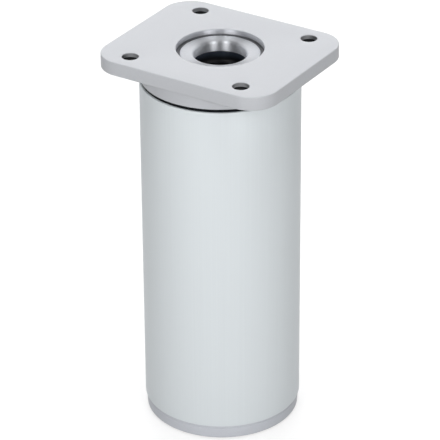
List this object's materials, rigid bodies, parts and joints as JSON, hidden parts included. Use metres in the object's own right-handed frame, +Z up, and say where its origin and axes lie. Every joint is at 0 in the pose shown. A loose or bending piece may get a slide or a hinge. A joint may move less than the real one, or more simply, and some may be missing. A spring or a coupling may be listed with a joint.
{
  "type": "adjustable furniture leg",
  "caption": "Round aluminium furniture leg with a rectangular screw-on top plate and a foot that a key, passed down through the open centre of the plate, screws in and out.",
  "frame": {"origin": "on the floor under the leg's axis, at the middle of the foot's underside, with the foot fully wound in", "axes": "+Z up along the tube to the mounting plate, +X along the plate's long side"},
  "size_m": [0.074, 0.0624, 0.152],
  "materials": {
    "plate_casting": "satin silver lacquer on a die casting",
    "rivet_steel": "satin",
    "tube_aluminium": "satin anodised",
    "insert_black": "moulded, slightly glossy",
    "foot_grey": "fine moulded texture",
    "plated_steel": "bright zinc plated",
    "spring_steel": "dark phosphated",
    "pad_rubber": "matt"
  },
  "bodies": {
    "leg": {"mounting_plate": "plate_casting", "tubular_rivet": "rivet_steel", "tube": "tube_aluminium", "top_insert": "insert_black", "bottom_insert": "foot_grey", "hex_nut": "plated_steel"},
    "foot": {"foot": "foot_grey", "floor_pad": "pad_rubber"},
    "spindle": {"spindle": "plated_steel", "stop_clip": "spring_steel", "thrust_washer": "plated_steel", "foot_clip": "spring_steel"}
  },
  "joints": [
    {"name": "foot_extension", "type": "slide", "parent": "leg", "child": "foot", "axis": [0, 0, -1], "range_m": [0, 0.02]},
    {"name": "spindle_turn", "type": "hinge", "parent": "foot", "child": "spindle", "pos_m": [0, 0, 0], "axis": [0, 0, -1], "range_deg": [0, 4800]}
  ],
  "couplings": [
    {"joint": "spindle_turn", "follows": "foot_extension", "rad_per_m": 4188.8}
  ]
}
